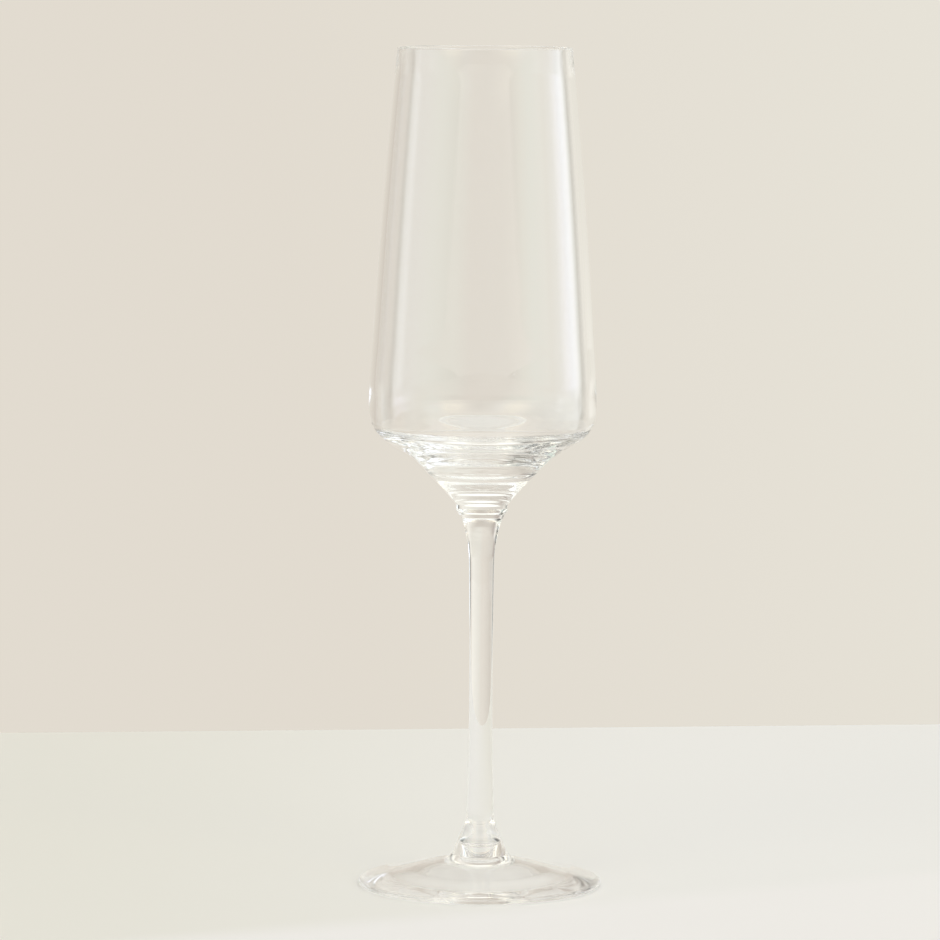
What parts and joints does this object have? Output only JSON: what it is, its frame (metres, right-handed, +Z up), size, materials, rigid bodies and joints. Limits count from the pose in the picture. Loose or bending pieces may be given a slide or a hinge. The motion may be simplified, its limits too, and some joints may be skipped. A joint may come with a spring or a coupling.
{
  "type": "champagne flute",
  "caption": "Tall, narrow stemmed glass: a cup that tapers in to the rim over a rounded shoulder and conical base, a slim stem and a round foot.",
  "frame": {"origin": "centre of the foot's resting ring, on the table", "axes": "+Z up along the stem to the rim; the glass is round, so +X and +Y are any two directions across it"},
  "size_m": [0.0712, 0.0712, 0.246],
  "materials": {
    "clear_glass": "clear, colourless and fire-polished"
  },
  "bodies": {
    "root": {"bowl": "clear_glass", "stem": "clear_glass", "foot": "clear_glass"}
  },
  "joints": []
}
